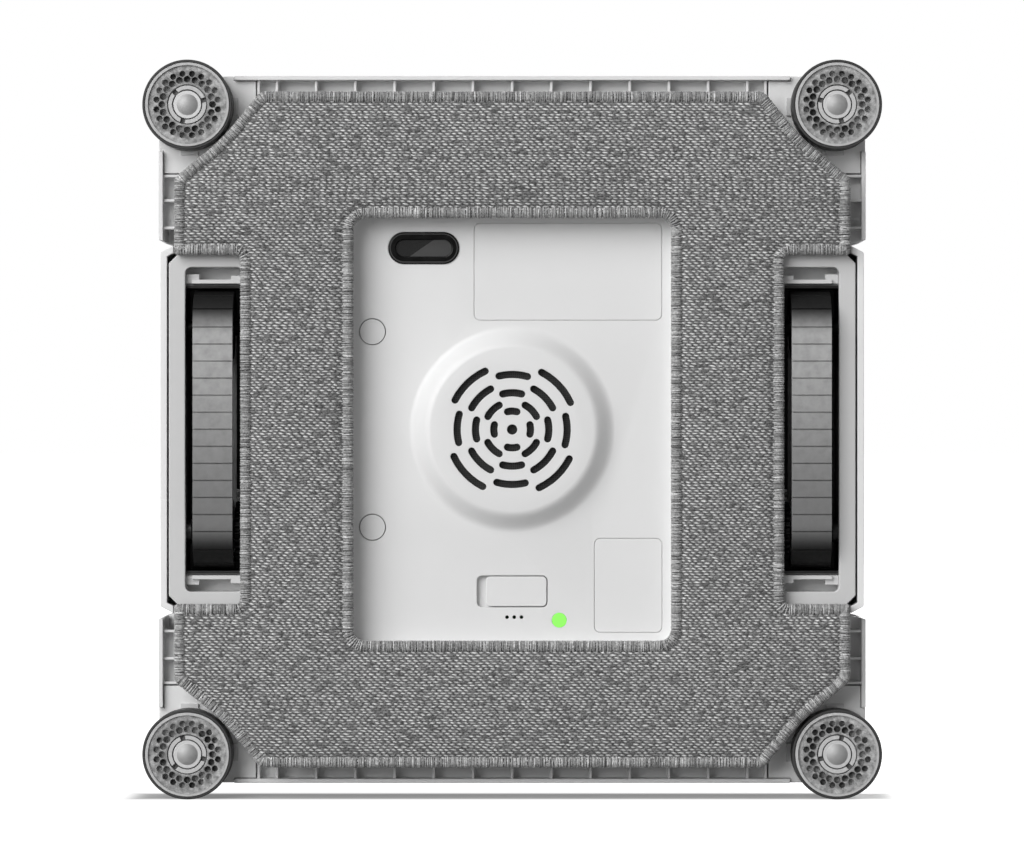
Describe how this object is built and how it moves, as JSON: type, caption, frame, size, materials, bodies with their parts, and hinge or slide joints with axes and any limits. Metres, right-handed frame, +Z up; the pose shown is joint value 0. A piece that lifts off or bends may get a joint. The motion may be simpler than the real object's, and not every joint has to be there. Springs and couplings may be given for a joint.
{
  "type": "window cleaning robot",
  "caption": "Square window cleaning robot with a woven pad ring, two belt treads, corner rollers, a suction fan behind a slotted dome, sprung bumpers and a carrying handle.",
  "frame": {"origin": "bottom centre of the whole object, at the lowest line of the two lower rollers, midway between the glass face and the handle's button", "axes": "+Z up as the robot stands and works on a pane, +X to the right seen from the glass side, +Y from the glass face towards the handle"},
  "size_m": [0.2454, 0.1076, 0.2454],
  "materials": {
    "pad_cloth": "heathered grey weave",
    "hook_sheet": "matt",
    "light_grey_plastic": "fine satin",
    "white_plastic": "satin",
    "gloss_white_plastic": "glossy",
    "black_plastic": "satin",
    "gloss_black_plastic": "glossy",
    "smoked_lens": "glossy",
    "green_lamp": "lit diffuser",
    "filter_mesh": "fine mesh",
    "dark_grey_plastic": "matt",
    "belt_rubber": "matt, ribbed",
    "tyre_rubber": "matt",
    "roller_plastic": "satin",
    "pin_metal": "satin",
    "motor_can": "drawn",
    "gear_brass": "machined",
    "cell_wrap": "shrink wrap",
    "board": "solder mask",
    "spring_steel": "rolled",
    "grip_rubber": "matt",
    "light_ring": "lit diffuser"
  },
  "bodies": {
    "chassis": {"hook_sheet": "hook_sheet", "base_plate": "light_grey_plastic", "belly_panel": "white_plastic", "intake_filter": "filter_mesh", "sensor_bezel": "gloss_black_plastic", "sensor_lens": "smoked_lens", "screw_plugs": "white_plastic", "label_plates": "white_plastic", "status_lamp": "green_lamp", "switch_module": "black_plastic", "fan_housing": "dark_grey_plastic", "fan_motor": "motor_can", "track_frames": "light_grey_plastic", "track_wells": "dark_grey_plastic", "belt_left": "belt_rubber", "belt_right": "belt_rubber", "belt_scrapers": "white_plastic", "idler_axles": "pin_metal", "gearheads": "motor_can", "drive_motors": "motor_can", "battery_tray": "black_plastic", "battery_cells": "cell_wrap", "main_board": "board", "leaf_springs_upper": "spring_steel", "leaf_springs_lower": "spring_steel", "bumper_switches": "black_plastic", "top_shell": "gloss_white_plastic", "casing_screws": "pin_metal", "handle": "gloss_white_plastic", "handle_grip": "grip_rubber", "indicator_ring": "light_ring", "charging_inlet": "black_plastic"},
    "pad": {"pad": "pad_cloth"},
    "power_slider": {"power_slider": "white_plastic"},
    "fan_rotor": {"impeller": "black_plastic", "fan_shaft": "pin_metal"},
    "drive_left": {"drive_axle_left": "light_grey_plastic", "drive_pulley_left": "light_grey_plastic"},
    "drive_right": {"drive_axle_right": "light_grey_plastic", "drive_pulley_right": "light_grey_plastic"},
    "idler_left": {"idler_pulley_left": "light_grey_plastic"},
    "idler_right": {"idler_pulley_right": "light_grey_plastic"},
    "pinion_left": {"motor_pinion_left": "gear_brass"},
    "pinion_right": {"motor_pinion_right": "gear_brass"},
    "bumper_upper": {"bumper_upper": "white_plastic", "corner_carriers_upper": "light_grey_plastic", "axle_pins_upper": "pin_metal"},
    "bumper_lower": {"bumper_lower": "white_plastic", "corner_carriers_lower": "light_grey_plastic", "axle_pins_lower": "pin_metal"},
    "start_button": {"start_button": "white_plastic"},
    "tether_ring": {"tether_ring": "pin_metal"},
    "roller_upper_left": {"roller_hub_upper_left": "roller_plastic", "roller_tyre_upper_left": "tyre_rubber"},
    "roller_upper_right": {"roller_hub_upper_right": "roller_plastic", "roller_tyre_upper_right": "tyre_rubber"},
    "roller_lower_left": {"roller_hub_lower_left": "roller_plastic", "roller_tyre_lower_left": "tyre_rubber"},
    "roller_lower_right": {"roller_hub_lower_right": "roller_plastic", "roller_tyre_lower_right": "tyre_rubber"}
  },
  "joints": [
    {"name": "pad_release", "type": "slide", "parent": "chassis", "child": "pad", "axis": [0, -1, 0], "range_m": [0, 0.03]},
    {"name": "power_slide", "type": "slide", "parent": "chassis", "child": "power_slider", "axis": [-1, 0, 0], "range_m": [0, 0.0027]},
    {"name": "fan_spin", "type": "hinge", "parent": "chassis", "child": "fan_rotor", "pos_m": [0, -0.0338, 0.1227], "axis": [0, 1, 0], "continuous": true},
    {"name": "start_press", "type": "slide", "parent": "chassis", "child": "start_button", "axis": [0, -1, 0], "range_m": [0, 0.0008], "stiffness_N_per_m": 600, "springref_m": -0.001},
    {"name": "tether_swing", "type": "hinge", "parent": "chassis", "child": "tether_ring", "pos_m": [0, 0.0156, 0.2087], "axis": [1, 0, 0], "range_deg": [0, 175]},
    {"name": "bumper_upper_press", "type": "slide", "parent": "chassis", "child": "bumper_upper", "axis": [0, 0, -1], "range_m": [0, 0.0008], "stiffness_N_per_m": 8000, "springref_m": -0.0025, "deforming": ["leaf_springs_upper"]},
    {"name": "bumper_lower_press", "type": "slide", "parent": "chassis", "child": "bumper_lower", "axis": [0, 0, 1], "range_m": [0, 0.0008], "stiffness_N_per_m": 8000, "springref_m": -0.0025, "deforming": ["leaf_springs_lower"]},
    {"name": "roller_upper_left_spin", "type": "hinge", "parent": "bumper_upper", "child": "roller_upper_left", "pos_m": [-0.1078, -0.0458, 0.2305], "axis": [0, 1, 0], "continuous": true},
    {"name": "roller_upper_right_spin", "type": "hinge", "parent": "bumper_upper", "child": "roller_upper_right", "pos_m": [0.1078, -0.0458, 0.2305], "axis": [0, 1, 0], "continuous": true},
    {"name": "roller_lower_left_spin", "type": "hinge", "parent": "bumper_lower", "child": "roller_lower_left", "pos_m": [-0.1078, -0.0458, 0.0149], "axis": [0, 1, 0], "continuous": true},
    {"name": "roller_lower_right_spin", "type": "hinge", "parent": "bumper_lower", "child": "roller_lower_right", "pos_m": [0.1078, -0.0458, 0.0149], "axis": [0, 1, 0], "continuous": true},
    {"name": "drive_left_spin", "type": "hinge", "parent": "chassis", "child": "drive_left", "pos_m": [-0.0992, -0.04153, 0.08886], "axis": [1, 0, 0], "continuous": true},
    {"name": "idler_left_spin", "type": "hinge", "parent": "chassis", "child": "idler_left", "pos_m": [-0.0992, -0.04153, 0.15654], "axis": [1, 0, 0], "continuous": true},
    {"name": "pinion_left_spin", "type": "hinge", "parent": "chassis", "child": "pinion_left", "pos_m": [-0.09, -0.03303, 0.09836], "axis": [1, 0, 0], "continuous": true},
    {"name": "drive_right_spin", "type": "hinge", "parent": "chassis", "child": "drive_right", "pos_m": [0.0992, -0.04153, 0.08886], "axis": [1, 0, 0], "continuous": true},
    {"name": "idler_right_spin", "type": "hinge", "parent": "chassis", "child": "idler_right", "pos_m": [0.0992, -0.04153, 0.15654], "axis": [1, 0, 0], "continuous": true},
    {"name": "pinion_right_spin", "type": "hinge", "parent": "chassis", "child": "pinion_right", "pos_m": [0.09, -0.03303, 0.09836], "axis": [1, 0, 0], "continuous": true}
  ],
  "couplings": [
    {"joint": "idler_left_spin", "follows": "drive_left_spin", "ratio": 1},
    {"joint": "pinion_left_spin", "follows": "drive_left_spin", "ratio": -2.4},
    {"joint": "idler_right_spin", "follows": "drive_right_spin", "ratio": 1},
    {"joint": "pinion_right_spin", "follows": "drive_right_spin", "ratio": -2.4}
  ]
}
